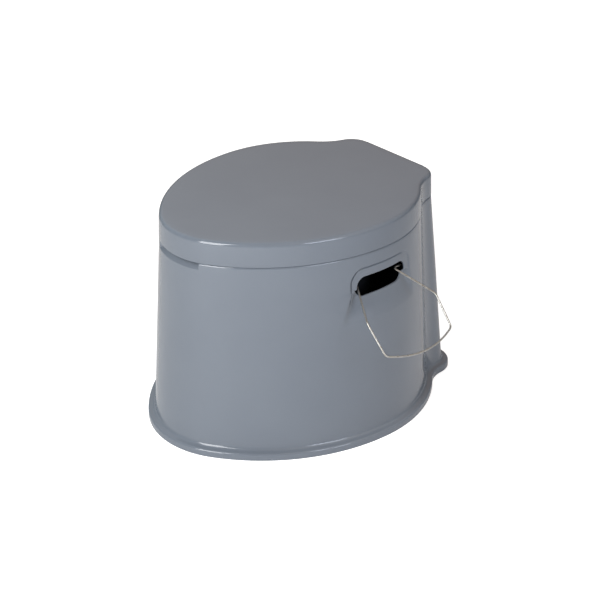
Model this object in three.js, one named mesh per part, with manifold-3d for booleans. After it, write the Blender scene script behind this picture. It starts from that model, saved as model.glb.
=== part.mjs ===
// Portable bucket toilet: a tall outer tub with a flared foot, a hinged seat and a deep hinged lid,
// a lift-out inner bucket with its own cover and carrying bail, and a wire roll holder hooked into
// the right-hand carrying slot.
//
// Units are millimetres, +Z is up and the front of the toilet faces -Y. The plan is drawn with y = 0
// at the widest part of the tub; the finished group is then moved so that the origin lies under the
// foot rim at the middle of the rear edge.

import * as THREE from 'three';
import { mergeVertices } from 'three/addons/utils/BufferGeometryUtils.js';
import { ParametricGeometry } from 'three/addons/geometries/ParametricGeometry.js';
import Module from 'manifold-3d';

const wasm = await Module();
wasm.setup();

// ---------------------------------------------------------------- driving dimensions

const totalHeight = 330;
const partingHeight = 295;        // joint between tub and lid
const wall = 3;                   // moulded wall thickness
const gap = 0.3;                  // clearance between neighbouring pieces

// Plan outline at the parting height: tangent arcs, mirrored about x = 0.
const plan = {
  halfWidth: 169.5,
  noseY: -230.3,                  // front tip
  rearY: 187.5,                   // flat back of the hinge block
  sideRadius: 258,                // long front side arc
  hipRadius: 179,                 // side arc behind the widest point
  neckRadius: 79,                 // hollow arc leading into the hinge block
  blockHalfWidth: 95,
  blockCornerRadius: 32,
  blockCornerAtFloor: 9,          // the same radius at floor level, before the wall's growth
};

// The tub wall leans out towards the floor, and the foot flares beyond it.
const wallTopSpread = 1.8;        // outward growth of the wall at the parting height
const wallSpread = 19.5;          // outward growth of the wall at the top of the foot
const wallFootHeight = 18;
const rearLean = 1.2;             // extra growth of the rear at floor level
const footSpread = 30.5;          // outer edge of the foot rim
const footLip = 7;                // height of the foot's upright rim

const deckHeight = 294.5;         // top deck under the seat
const ledgeHeight = 280;          // sunken ledge that carries the bucket
const ovalPower = 2.6;            // squareness of the bucket, its ledge and its cover
const ovalCentreY = -25;
const pocket = [127, 157];        // half-axes of the sunken ledge
const ledgeHole = [112, 142];

const bucketMouth = [106, 136];
const bucketFlange = [124, 154];
const bucketFloor = [88, 118];
const bucketWall = 2.5;
const bucketBottomHeight = 68;
const flangeTop = ledgeHeight + gap + wall;

const coverRim = [113, 143];
const coverDish = [58, 88];
const coverTop = flangeTop + gap + 2.8;
const coverDishDepth = 17;

const bucketEarSpan = [116.2, 118.2];
const bailRadius = 2;
const bailHeight = 288.2;
const bailHalfWidth = 121.5;
const bailReach = 149.5;
const gripRadius = 4.5;
const gripHalfLength = 36;

const seatBottom = 300;
const seatTop = 320;
const seatInset = -7.5;
const seatHole = [98, 128];
const seatHolePower = 2.2;

const lidBottom = deckHeight + gap;
const lidBottomSpread = 2.3;
const lidTopSpread = 0.2;
const lidFillet = 6;

const hinge = { y: 194.2, z: 299, radius: 6.5, pinRadius: 2.5, headRadius: 4.5 };
const hingeHole = hinge.pinRadius + gap;
// Stations along x of one hinge, from the inner tub lug to the outer one.
const knuckles = { innerLug: [22, 28], seat: [29, 36], lid: [37, 44], outerLug: [45, 51] };
const hingeWindow = { halfWidth: 61, top: 307 };
// Outlines in (y, z) of the webs that join the knuckles to their own parts.
const webs = {
  tub: [[188, 281], [190.6, 281], [197.7, 293], [200.2, 299], [190.2, 302], [188, 293]],
  lid: [[188.2, 299], [200.2, 300], [192.2, 313], [187.2, 313]],
  seat: [[178.7, 300.2], [189.2, 297], [194.2, 293], [194.2, 305.5], [178.7, 305.5]],
};

const slotMiddleY = 2.5;          // middle of each carrying slot, its recess and its scoop
const slot = { halfLength: 46, bottom: 227.5, top: 259.5, radius: 14 };
const recess = { halfLength: 57, bottom: 222, top: 274, radius: 22, depth: 3 };
const scoop = { depth: 9, top: 235, bottom: 192, topHalfWidth: 55, bottomHalfWidth: 72, flank: 8 };
const scoopClosing = 9;           // height over which the top of a scoop closes
const acrossWall = [100, 230];    // stations along x that lie on either side of the side wall

const notch = { halfWidth: 43, bottom: 288.5, depth: 10 };

const holder = {
  radius: 1.4,
  pivotX: 157.5,
  pivotZ: 246,
  tipY: 54,
  hookY: 35.5,
  kink: [214, 66, 217],
  corner: [250, 63.5, 179],
  apex: [261.5, 0, 170.5],
};

const seatPadRadius = 7.5;
const lidPadRadius = 6;
const padPlaces = {
  front_left: { seat: [-126, -118], lid: [-112, -105] },
  front_right: { seat: [126, -118], lid: [112, -105] },
  rear_left: { seat: [-120, 94], lid: [-112, 80] },
  rear_right: { seat: [120, 94], lid: [112, 80] },
};

// ---------------------------------------------------------------- materials

const paint = (color, roughness, metalness = 0) =>
  new THREE.MeshStandardMaterial({ color, roughness, metalness });

const materials = {
  shell: () => paint(0x7f8791, 0.3),
  bucket: () => paint(0x2b2e33, 0.45),
  pin: () => paint(0x5f666f, 0.4),
  rubber: () => paint(0x26282b, 0.8),
  steel: () => paint(0xb9b6ae, 0.3, 1),
  grip: () => paint(0x1f2124, 0.55),
};

// ---------------------------------------------------------------- plan outline

// Centre of the nose arc that touches the side arc and passes through the front tip.
function noseArc() {
  const across = plan.sideRadius - plan.halfWidth;
  const reach = -plan.noseY;
  const radius = (plan.sideRadius ** 2 - across ** 2 - reach ** 2) / (2 * (plan.sideRadius - reach));
  return { radius, y: plan.noseY + radius };
}

// Right half of the outline as [curve, number of steps] pairs from the nose to the rear middle.
// Towards the floor the back moves out a little and the corners of its block get tighter.
function halfOutline(offset, z) {
  const depth = Math.max(0, partingHeight - z) / partingHeight;
  const rearY = plan.rearY + rearLean * depth;
  const corner = plan.blockCornerRadius + (plan.blockCornerAtFloor - plan.blockCornerRadius) * depth;
  const nose = noseArc();
  const sideX = plan.halfWidth - plan.sideRadius;
  const hipX = plan.halfWidth - plan.hipRadius;
  const cornerX = plan.blockHalfWidth - corner;
  const cornerY = rearY - corner;
  const joinAngle = Math.atan2(nose.y, -sideX);

  // The neck arc touches the hip arc and the corner arc from outside.
  const toHip = plan.hipRadius + plan.neckRadius;
  const toCorner = corner + plan.neckRadius;
  const span = Math.hypot(cornerX - hipX, cornerY);
  const along = (toHip ** 2 - toCorner ** 2 + span ** 2) / (2 * span);
  const aside = Math.sqrt(toHip ** 2 - along ** 2);
  const unitX = (cornerX - hipX) / span;
  const unitY = cornerY / span;
  const neckX = hipX + unitX * along + unitY * aside;
  const neckY = unitY * along - unitX * aside;
  const hipEnd = Math.atan2(neckY, neckX - hipX);
  const cornerStart = Math.atan2(neckY - cornerY, neckX - cornerX);

  const arc = (x, y, radius, from, to, clockwise = false) =>
    new THREE.EllipseCurve(x, y, radius, radius, from, to, clockwise);
  const rear = rearY + offset;
  return [
    [arc(0, nose.y, nose.radius + offset, -Math.PI / 2, joinAngle), 6],
    [arc(sideX, 0, plan.sideRadius + offset, joinAngle, 0), 7],
    [arc(hipX, 0, plan.hipRadius + offset, 0, hipEnd), 6],
    [arc(neckX, neckY, plan.neckRadius - offset, hipEnd + Math.PI, cornerStart + Math.PI, true), 3],
    [arc(cornerX, cornerY, corner + offset, cornerStart, Math.PI / 2), 4],
    [new THREE.LineCurve(new THREE.Vector2(cornerX, rear), new THREE.Vector2(0, rear)), 2],
  ];
}

// Whole outline, counter-clockwise from the nose, as a closed ring of Vector2.
function outline(offset = 0, z = partingHeight) {
  const right = [];
  for (const [curve, steps] of halfOutline(offset, z)) {
    for (let i = 0; i < steps; i++) right.push(curve.getPoint(i / steps));
  }
  const rearMiddle = new THREE.Vector2(0, right.at(-1).y);
  const left = right.slice(1).reverse().map((p) => new THREE.Vector2(-p.x, p.y));
  return [...right, rearMiddle, ...left];
}

// Point of a squared oval in the direction of an angle seen from the oval's centre.
function ovalPoint([a, b], angle, power = ovalPower) {
  const across = Math.abs(Math.cos(angle) / a) ** power;
  const along = Math.abs(Math.sin(angle) / b) ** power;
  const radius = (across + along) ** (-1 / power);
  return new THREE.Vector2(radius * Math.cos(angle), ovalCentreY + radius * Math.sin(angle));
}

function oval(axes, power = ovalPower, steps = 48) {
  return Array.from({ length: steps }, (_, i) => ovalPoint(axes, (2 * Math.PI * i) / steps, power));
}

const grow = ([a, b], by) => [a + by, b + by];

// Outward growth of the leaning tub wall at a height.
function lean(z) {
  const depth = (partingHeight - z) / (partingHeight - wallFootHeight);
  return wallTopSpread + (wallSpread - wallTopSpread) * depth;
}

// ---------------------------------------------------------------- solids

// Sweeps rings of equal point count into one skin. A solid with poles is closed by a fan at each
// end; without poles the last ring joins the first one and makes a closed band.
function skin(rings, poles = true) {
  const steps = rings[0].points.length;
  const rows = poles ? [middleOf(rings[0]), ...rings, middleOf(rings.at(-1))] : [...rings, rings[0]];
  const place = (u, v, target) => {
    const row = rows[Math.round(v * (rows.length - 1))];
    const point = row.points[Math.round(u * steps) % row.points.length];
    target.set(point.x, point.y, row.z);
  };
  return solidOf(new ParametricGeometry(place, steps, rows.length - 1));
}

function middleOf({ z, points }) {
  const sum = points.reduce((total, point) => total.add(point), new THREE.Vector2());
  return { z, points: [sum.divideScalar(points.length)] };
}

// Turns a closed three.js geometry into a manifold solid.
function solidOf(geometry) {
  const bare = geometry.clone();
  bare.deleteAttribute('normal');
  bare.deleteAttribute('uv');
  const merged = mergeVertices(bare, 1e-4);
  const corners = merged.index.array;
  const kept = [];
  for (let i = 0; i < corners.length; i += 3) {
    const [a, b, c] = [corners[i], corners[i + 1], corners[i + 2]];
    if (a !== b && b !== c && c !== a) kept.push(a, b, c);
  }
  return new wasm.Manifold(new wasm.Mesh({
    numProp: 3,
    vertProperties: new Float32Array(merged.attributes.position.array),
    triVerts: new Uint32Array(kept),
  }));
}

function geometryOf(solid) {
  const mesh = solid.getMesh();
  const geometry = new THREE.BufferGeometry();
  geometry.setAttribute('position', new THREE.BufferAttribute(mesh.vertProperties, 3));
  geometry.setIndex(new THREE.BufferAttribute(mesh.triVerts, 1));
  return geometry;
}

// Solid standing on an outline, from one height to another.
function prism(points, from, to) {
  return skin([{ z: from, points }, { z: to, points }]);
}

// Box given by its lowest and highest corners.
function block(low, high) {
  const size = high.map((value, i) => value - low[i]);
  const geometry = new THREE.BoxGeometry(...size);
  geometry.translate(...low.map((value, i) => value + size[i] / 2));
  return solidOf(geometry);
}

// Extrusion of a shape drawn in (y, z) along x, between two stations.
function alongX(shape, from, to, curveSegments = 8) {
  const geometry = new THREE.ExtrudeGeometry(shape, {
    depth: to - from,
    bevelEnabled: false,
    curveSegments,
  });
  geometry.applyMatrix4(new THREE.Matrix4().set(0, 0, 1, from, 1, 0, 0, 0, 0, 1, 0, 0, 0, 0, 0, 1));
  return solidOf(geometry);
}

function rodAlongX(radius, from, to, y, z, sides = 20) {
  const geometry = new THREE.CylinderGeometry(radius, radius, to - from, sides);
  geometry.rotateZ(Math.PI / 2);
  geometry.translate((from + to) / 2, y, z);
  return solidOf(geometry);
}

// Rectangle with rounded corners, drawn in (y, z).
function roundedShape(halfLength, bottom, top, radius, middle = 0) {
  const shape = new THREE.Shape();
  const end = halfLength - radius;
  shape.absarc(middle + end, bottom + radius, radius, -Math.PI / 2, 0);
  shape.absarc(middle + end, top - radius, radius, 0, Math.PI / 2);
  shape.absarc(middle - end, top - radius, radius, Math.PI / 2, Math.PI);
  shape.absarc(middle - end, bottom + radius, radius, Math.PI, 1.5 * Math.PI);
  return shape;
}

function polygon(points) {
  return new THREE.Shape(points.map(([y, z]) => new THREE.Vector2(y, z)));
}

// Curve made of pieces that each take their own number of steps, so that straight runs stay cheap.
class Route extends THREE.Curve {
  constructor(pieces) {
    super();
    this.pieces = pieces;
    this.steps = pieces.reduce((total, [, steps]) => total + steps, 0);
  }

  getPoint(t, target) {
    let step = t * this.steps;
    for (const [curve, steps] of this.pieces) {
      if (step <= steps) return curve.getPoint(step / steps, target);
      step -= steps;
    }
    return this.pieces.at(-1)[0].getPoint(1, target);
  }

  getPointAt(u, target) {
    return this.getPoint(u, target);
  }

  getTangentAt(u, target) {
    return this.getTangent(u, target);
  }
}

// Round wire along a route.
function wire(route, radius) {
  const shape = new THREE.Shape();
  shape.absarc(0, 0, radius, 0, 2 * Math.PI);
  return new THREE.ExtrudeGeometry(shape, {
    extrudePath: route,
    steps: route.steps,
    curveSegments: 4,
    bevelEnabled: false,
  });
}

const mirroredInX = (p) => new THREE.Vector3(-p.x, p.y, p.z);
const mirroredInY = (p) => new THREE.Vector3(p.x, -p.y, p.z);

// The same pieces run backwards on the mirrored side.
function mirroredBack(pieces, mirror) {
  return pieces.map(([curve, steps]) => {
    const back = new THREE.Curve();
    back.getPoint = (t) => mirror(curve.getPoint(1 - t));
    return [back, steps];
  }).reverse();
}

const towards = (from, to, length) => from.clone().add(to.clone().sub(from).setLength(length));

// Straight runs through corner points, each corner rounded with a bend; ends one bend before the
// last point.
function bentRun(points, bend) {
  const pieces = [];
  let start = points[0];
  for (let i = 1; i < points.length - 1; i++) {
    const corner = points[i];
    const before = towards(corner, points[i - 1], bend);
    const after = towards(corner, points[i + 1], bend);
    pieces.push([new THREE.LineCurve3(start, before), 1]);
    pieces.push([new THREE.QuadraticBezierCurve3(before, corner, after), 4]);
    start = after;
  }
  const last = points.at(-1);
  pieces.push([new THREE.LineCurve3(start, towards(last, points.at(-2), bend)), 2]);
  return pieces;
}

// Both hinges: the same piece at +x and at -x.
const onBothSides = (make) => [make(1), make(-1)];
const stations = ([from, to], side) => (side > 0 ? [from, to] : [-to, -from]);

// Knuckle round the hinge axis with a web to its own part.
function knuckle(web, span, side) {
  const [from, to] = stations(span, side);
  return rodAlongX(hinge.radius, from, to, hinge.y, hinge.z).add(alongX(polygon(web), from, to));
}

function pinHoles(solid) {
  const reach = knuckles.outerLug[1] + 9;
  return solid.subtract(rodAlongX(hingeHole, -reach, reach, hinge.y, hinge.z));
}

// ---------------------------------------------------------------- outer tub

const wallRing = (z, offset) => ({ z, points: outline(offset, z) });

function tubOutside() {
  const shoulder = 4;
  return skin([
    wallRing(0, footSpread - 0.8),
    wallRing(0.8, footSpread),
    wallRing(footLip, footSpread),
    wallRing(footLip + 2.4, footSpread - 1.1),
    wallRing(footLip + 3.4, footSpread - 3.6),
    wallRing(footLip + 4.8, footSpread - 7.6),
    wallRing(footLip + 7.3, footSpread - 10),
    wallRing(wallFootHeight, wallSpread),
    wallRing(150, lean(150)),
    wallRing(deckHeight - shoulder, lean(deckHeight - shoulder)),
    wallRing(deckHeight - shoulder * 0.3, wallTopSpread - shoulder * 0.28),
    wallRing(deckHeight, wallTopSpread - shoulder),
  ]);
}

function tubCavity() {
  const ceiling = deckHeight - wall;
  return skin([
    wallRing(-1, footSpread - wall),
    wallRing(footLip, footSpread - wall),
    wallRing(footLip + 1.2, footSpread - 5.5),
    wallRing(footLip + 2.2, footSpread - 10),
    wallRing(wallFootHeight - 2, wallSpread - wall + 1),
    wallRing(wallFootHeight + 5, wallSpread - wall - 0.3),
    wallRing(ceiling - 3, lean(ceiling - 3) - wall),
    wallRing(ceiling, -6),
  ]);
}

// Everything outside the tub wall set back by a depth, used to cut shallow pockets into it.
function outsideOfWall(depth, from, to) {
  const around = 60;
  const outer = skin([wallRing(from, around), wallRing(to, around)]);
  const inner = skin([wallRing(from - 1, lean(from - 1) - depth), wallRing(to + 1, lean(to + 1) - depth)]);
  return outer.subtract(inner);
}

// Shallow rounded recess round a carrying slot, grown evenly for the inner face of the wall.
function slotRecess(side, growth = 0) {
  const shape = roundedShape(
    recess.halfLength + growth,
    recess.bottom - growth,
    recess.top + growth,
    recess.radius + growth,
    slotMiddleY,
  );
  const column = alongX(shape, ...stations(acrossWall, side));
  return column.intersect(outsideOfWall(recess.depth + growth, recess.bottom - 20, recess.top + 15));
}

// Hand scoop below a slot: deepest under the slot, it widens and runs out down the wall.
function handScoop(side, growth = 0) {
  const surface = (z) => plan.halfWidth + lean(z);
  const lip = surface(scoop.top) - scoop.depth - growth;
  const rows = [
    { z: scoop.bottom - growth, floor: surface(scoop.bottom), half: scoop.bottomHalfWidth },
    { z: scoop.top, floor: lip, half: scoop.topHalfWidth },
    { z: scoop.top + scoopClosing, floor: lip + scoop.depth - recess.depth, half: slot.halfLength },
  ];
  return skin(rows.map(({ z, floor, half }) => {
    const edge = half + growth;
    const near = [[floor, scoop.flank - edge], [floor + 3, -edge], [acrossWall[1], -edge - 6]];
    const far = near.map(([x, y]) => [x, -y]).reverse();
    const corners = [...near, ...far].map(([x, y]) => new THREE.Vector2(side * x, slotMiddleY + y));
    return { z, points: side > 0 ? corners : corners.reverse() };
  }));
}

// Finger notch under the front edge of the lid.
function frontNotch(growth = 0) {
  const bottom = notch.bottom - growth;
  const top = deckHeight + 5;
  const half = notch.halfWidth + growth;
  const column = block([-half, plan.noseY - 30, bottom], [half, plan.noseY + 40, top]);
  return column.intersect(outsideOfWall(notch.depth + growth, bottom - 1, top + 1));
}

function tubLugs(side) {
  const inner = knuckle(webs.tub, knuckles.innerLug, side);
  const outer = knuckle(webs.tub, knuckles.outerLug, side);
  return inner.add(outer);
}

function outerTub() {
  const ledgeBand = prism(oval(grow(pocket, wall)), ledgeHeight - wall, deckHeight);
  let cavity = tubCavity().subtract(ledgeBand).subtract(frontNotch(wall));
  let tub = tubOutside().subtract(frontNotch());
  const opening = roundedShape(slot.halfLength, slot.bottom, slot.top, slot.radius, slotMiddleY);
  for (const side of [1, -1]) {
    cavity = cavity.subtract(slotRecess(side, wall)).subtract(handScoop(side, wall));
    tub = tub.subtract(slotRecess(side)).subtract(handScoop(side));
    tub = tub.subtract(alongX(opening, ...stations(acrossWall, side)));
  }
  tub = tub.subtract(cavity);
  tub = tub.subtract(prism(oval(pocket), ledgeHeight, deckHeight + 5));
  tub = tub.subtract(prism(oval(ledgeHole), ledgeHeight - 10, ledgeHeight + 5));
  for (const lugs of onBothSides(tubLugs)) tub = tub.add(lugs);
  return pinHoles(tub);
}

// ---------------------------------------------------------------- lid and seat

function lidShell() {
  const ring = (z, offset) => ({ z, points: outline(offset) });
  const outside = skin([
    ring(lidBottom, lidBottomSpread - 0.8),
    ring(lidBottom + 0.8, lidBottomSpread),
    ring(totalHeight - lidFillet, lidTopSpread),
    ring(totalHeight - lidFillet * 0.4, lidTopSpread - lidFillet * 0.2),
    ring(totalHeight - lidFillet * 0.1, lidTopSpread - lidFillet * 0.6),
    ring(totalHeight, lidTopSpread - lidFillet * 1.2),
  ]);
  const inside = skin([
    ring(lidBottom - 1, lidBottomSpread - wall),
    ring(totalHeight - 7, lidTopSpread - wall),
    ring(totalHeight - wall, lidTopSpread - wall - 4),
  ]);
  const windowCut = block(
    [-hingeWindow.halfWidth, plan.rearY - 15, lidBottom - 5],
    [hingeWindow.halfWidth, plan.rearY + 15, hingeWindow.top],
  );
  return outside.subtract(inside).subtract(windowCut);
}

function lid() {
  const lugs = onBothSides((side) => knuckle(webs.lid, knuckles.lid, side));
  return pinHoles(lugs.reduce((solid, lug) => solid.add(lug), lidShell()));
}

// Ring of the seat: part 0 follows the outline, part 1 follows the hole, between them a blend.
function seatRing(z, outerOffset, holeGrowth, part) {
  const points = outline(outerOffset).map((point) => {
    const angle = Math.atan2(point.y - ovalCentreY, point.x);
    return point.clone().lerp(ovalPoint(grow(seatHole, holeGrowth), angle, seatHolePower), part);
  });
  return { z, points };
}

function seat() {
  const outer = (z, inset) => seatRing(z, seatInset - inset, 0, 0);
  const inner = (z, growth) => seatRing(z, seatInset, growth, 1);
  let solid = skin([
    outer(seatBottom, 0),
    outer(seatTop - 8, 0.5),
    outer(seatTop - 3, 3),
    outer(seatTop - 1.2, 8),
    seatRing(seatTop, seatInset - 10, 10, 0.5),
    inner(seatTop - 2.5, 9),
    inner(seatTop - 7, 2),
    inner(seatTop - 13, 0),
    inner(seatBottom, 0),
    inner(seatBottom, wall),
    inner(seatTop - 13, wall),
    inner(seatTop - 6.5, wall + 3.5),
    seatRing(seatTop - wall, seatInset - 10, 10, 0.5),
    outer(seatTop - 5, 8),
    outer(seatTop - 8, wall + 1),
    outer(seatBottom, wall),
  ], false);
  for (const place of Object.values(padPlaces)) solid = solid.add(padBoss(place.seat));
  const arms = onBothSides((side) => knuckle(webs.seat, knuckles.seat, side));
  return pinHoles(arms.reduce((whole, arm) => whole.add(arm), solid));
}

// Round post under the seat's top that carries a buffer.
function padBoss([x, y]) {
  const radius = seatPadRadius + 1.5;
  const height = seatTop - wall - seatBottom;
  const post = new THREE.CylinderGeometry(radius, radius, height, 16);
  post.rotateX(Math.PI / 2);
  post.translate(x, y, seatBottom + height / 2);
  return solidOf(post);
}

// ---------------------------------------------------------------- hinge pins, buffers

function hingePin(side) {
  const head = knuckles.outerLug[1] + gap;
  const tail = knuckles.innerLug[0] - 2.5;
  const shank = stations([tail, head + 1], side);
  const button = stations([head, head + 2.4], side);
  return rodAlongX(hinge.pinRadius, ...shank, hinge.y, hinge.z)
    .add(rodAlongX(hinge.headRadius, ...button, hinge.y, hinge.z));
}

function pinClip(side) {
  const face = knuckles.innerLug[0] - gap;
  const ring = stations([face - 1.4, face], side);
  const hole = stations([face - 3, face + 2], side);
  return rodAlongX(hinge.headRadius, ...ring, hinge.y, hinge.z)
    .subtract(rodAlongX(hingeHole, ...hole, hinge.y, hinge.z));
}

// Round buffer with a softened free edge, standing on a height.
function buffer([x, y], radius, from, to) {
  const edge = 0.8;
  const profile = [
    [0, from],
    [radius - edge, from],
    [radius, from + edge],
    [radius, to],
    [0, to],
  ];
  const geometry = new THREE.LatheGeometry(profile.map(([r, z]) => new THREE.Vector2(r, z)), 16);
  geometry.rotateX(Math.PI / 2);
  geometry.translate(x, y, 0);
  return solidOf(geometry);
}

// ---------------------------------------------------------------- bucket, cover, bail

const ovalRing = (z, axes) => ({ z, points: oval(axes) });

function bucketShell() {
  const heel = 12;
  const outside = grow(bucketFloor, bucketWall);
  const top = grow(bucketMouth, bucketWall);
  return skin([
    ovalRing(bucketBottomHeight, grow(outside, -heel)),
    ovalRing(bucketBottomHeight + 3.5, grow(outside, -3.5)),
    ovalRing(bucketBottomHeight + heel, outside),
    ovalRing(ledgeHeight + gap, top),
    ovalRing(ledgeHeight + gap, bucketFlange),
    ovalRing(flangeTop, bucketFlange),
    ovalRing(flangeTop, bucketMouth),
    ovalRing(bucketBottomHeight + heel, bucketFloor),
    ovalRing(bucketBottomHeight + 6, grow(bucketFloor, -3.5)),
    ovalRing(bucketBottomHeight + bucketWall, grow(bucketFloor, -heel)),
  ]);
}

// Ear that stands on the flange and carries one end of the bail.
function bucketEar(side) {
  const plate = polygon([
    [ovalCentreY - 7, flangeTop - 1],
    [ovalCentreY + 7, flangeTop - 1],
    [ovalCentreY + 4, bailHeight + 3],
    [ovalCentreY - 4, bailHeight + 3],
  ]);
  const [from, to] = stations(bucketEarSpan, side);
  const hole = rodAlongX(bailRadius + gap, from - 2, to + 2, ovalCentreY, bailHeight, 16);
  return alongX(plate, from, to).subtract(hole);
}

function innerBucket() {
  return onBothSides(bucketEar).reduce((solid, ear) => solid.add(ear), bucketShell());
}

function bucketCover() {
  const plate = coverTop - flangeTop - gap;
  const under = coverTop - plate;
  const dishFloor = coverTop - coverDishDepth;
  const plugOuter = grow(bucketMouth, -1.2);
  const plugInner = grow(plugOuter, -2.5);
  const solid = skin([
    ovalRing(dishFloor - plate, grow(coverDish, -5)),
    ovalRing(dishFloor, grow(coverDish, -2)),
    ovalRing(under, grow(coverDish, 2.5)),
    ovalRing(under, plugInner),
    ovalRing(under - 6, plugInner),
    ovalRing(under - 6, grow(plugOuter, -0.8)),
    ovalRing(under, plugOuter),
    ovalRing(under, coverRim),
    ovalRing(coverTop - 0.6, coverRim),
    ovalRing(coverTop, grow(coverRim, -0.8)),
    ovalRing(coverTop, grow(coverDish, 1)),
    ovalRing(coverTop - 2, coverDish),
    ovalRing(dishFloor + 1, grow(coverDish, -4.5)),
    ovalRing(dishFloor, grow(coverDish, -6.5)),
  ]);
  const bar = roundedShape(8, coverTop - 6, coverTop + 2.2, 3.5);
  const reach = coverDish[0] + 2;
  return solid.add(alongX(bar, -reach, reach, 4).translate([0, ovalCentreY, 0]));
}

// The bail rests on the rim, swung back round the rear of the cover.
function bailRoute() {
  const at = (x, y) => new THREE.Vector3(x, ovalCentreY + y, bailHeight);
  const hook = at(bucketEarSpan[0] - 1.5, 0);
  const corner = at(bailHalfWidth, 0);
  const bend = 3;
  const shoulder = at(bailHalfWidth, 30);
  const rearEnd = at(gripHalfLength + 4, bailReach);
  const into = towards(corner, hook, bend);
  const out = towards(corner, shoulder, bend);
  const right = [
    [new THREE.LineCurve3(hook, into), 1],
    [new THREE.QuadraticBezierCurve3(into, corner, out), 4],
    [new THREE.LineCurve3(out, shoulder), 1],
    [new THREE.CubicBezierCurve3(shoulder, at(bailHalfWidth, 95), at(78, bailReach), rearEnd), 14],
    [new THREE.LineCurve3(rearEnd, at(0, bailReach)), 1],
  ];
  return new Route([...right, ...mirroredBack(right, mirroredInX)]);
}

function bailGrip() {
  const bore = bailRadius + gap;
  const end = gripHalfLength;
  const profile = [
    [bore, -end],
    [gripRadius - 0.7, -end],
    [gripRadius, -end + 0.7],
    [gripRadius, end - 0.7],
    [gripRadius - 0.7, end],
    [bore, end],
    [bore, -end],
  ];
  const geometry = new THREE.LatheGeometry(profile.map(([r, x]) => new THREE.Vector2(r, x)), 16);
  geometry.rotateZ(-Math.PI / 2);
  geometry.translate(0, ovalCentreY + bailReach, bailHeight);
  return solidOf(geometry);
}

// ---------------------------------------------------------------- roll holder

function holderRoute() {
  const tip = new THREE.Vector3(holder.pivotX, -holder.tipY, holder.pivotZ);
  const hook = new THREE.Vector3(holder.pivotX, -holder.hookY, holder.pivotZ);
  const kink = new THREE.Vector3(...holder.kink).multiply(new THREE.Vector3(1, -1, 1));
  const corner = new THREE.Vector3(...holder.corner).multiply(new THREE.Vector3(1, -1, 1));
  const bend = 5;
  const leg = bentRun([tip, hook, kink, corner], bend);
  // Handle point that makes the bowed cross bar pass through the apex.
  const bow = new THREE.Vector3(2 * holder.apex[0] - corner.x, 0, 2 * holder.apex[2] - corner.z);
  const barStart = towards(corner, bow, bend);
  const cornerBend = new THREE.QuadraticBezierCurve3(towards(corner, kink, bend), corner, barStart);
  const bar = new THREE.QuadraticBezierCurve3(barStart, bow, mirroredInY(barStart));
  const half = [...leg, [cornerBend, 5]];
  return new Route([...half, [bar, 16], ...mirroredBack(half, mirroredInY)]);
}

// ---------------------------------------------------------------- assembly

const toilet = new THREE.Group();

function addPiece(name, shape, material) {
  const geometry = shape.isBufferGeometry ? shape : geometryOf(shape);
  const mesh = new THREE.Mesh(geometry, material);
  mesh.name = name;
  toilet.add(mesh);
}

addPiece('outer_tub', outerTub(), materials.shell());
addPiece('toilet_seat', seat(), materials.shell());
addPiece('lid', lid(), materials.shell());
addPiece('inner_bucket', innerBucket(), materials.bucket());
addPiece('bucket_cover', bucketCover(), materials.bucket());
addPiece('bail_wire', wire(bailRoute(), bailRadius), materials.steel());
addPiece('bail_grip', bailGrip(), materials.grip());
addPiece('roll_holder', wire(holderRoute(), holder.radius), materials.steel());

for (const [name, side] of [['right', 1], ['left', -1]]) {
  addPiece(`hinge_pin_${name}`, hingePin(side), materials.pin());
  addPiece(`pin_clip_${name}`, pinClip(side), materials.steel());
}

for (const [name, place] of Object.entries(padPlaces)) {
  const seatPad = buffer(place.seat, seatPadRadius, deckHeight + gap, seatBottom - gap);
  const lidPad = buffer(place.lid, lidPadRadius, seatTop + gap, totalHeight - wall - gap);
  addPiece(`seat_buffer_${name}`, seatPad, materials.rubber());
  addPiece(`lid_buffer_${name}`, lidPad, materials.rubber());
}

// The origin goes under the foot rim, at the middle of the rear edge.
const rimWidth = wall;
toilet.position.y = -(plan.rearY + rearLean + footSpread - rimWidth / 2);

export default toilet;
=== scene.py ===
"""Portable bucket toilet: fine moulded shells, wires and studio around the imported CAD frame.

Shapes are drawn in millimetres in the plan frame of the CAD part: x = 0 is the plane of symmetry,
y = 0 is the widest part of the tub, the front faces -y and the floor is z = 0. build() moves them
into the row frame, in metres.
"""

import math

import bpy
import numpy as np
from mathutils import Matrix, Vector


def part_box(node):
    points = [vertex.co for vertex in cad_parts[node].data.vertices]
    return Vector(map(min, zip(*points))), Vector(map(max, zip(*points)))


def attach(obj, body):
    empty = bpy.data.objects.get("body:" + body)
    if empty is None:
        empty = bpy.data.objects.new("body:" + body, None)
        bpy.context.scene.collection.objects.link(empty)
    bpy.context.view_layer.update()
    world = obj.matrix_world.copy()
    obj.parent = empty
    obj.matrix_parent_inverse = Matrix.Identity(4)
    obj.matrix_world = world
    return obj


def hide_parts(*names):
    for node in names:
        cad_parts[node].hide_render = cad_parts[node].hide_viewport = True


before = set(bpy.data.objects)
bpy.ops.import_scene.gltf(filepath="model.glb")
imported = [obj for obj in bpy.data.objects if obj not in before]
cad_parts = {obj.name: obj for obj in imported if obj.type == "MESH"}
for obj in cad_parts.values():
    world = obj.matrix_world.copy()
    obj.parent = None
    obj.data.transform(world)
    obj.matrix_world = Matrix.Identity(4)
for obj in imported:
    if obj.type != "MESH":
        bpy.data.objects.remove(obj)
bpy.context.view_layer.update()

# ------------------------------------------------------------------ driving dimensions, mm

MM = 0.001
PARTING = 295.0
DECK = 294.5
LID_TOP = 330.0
GAP = 0.3
WALL = 3.0

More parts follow.
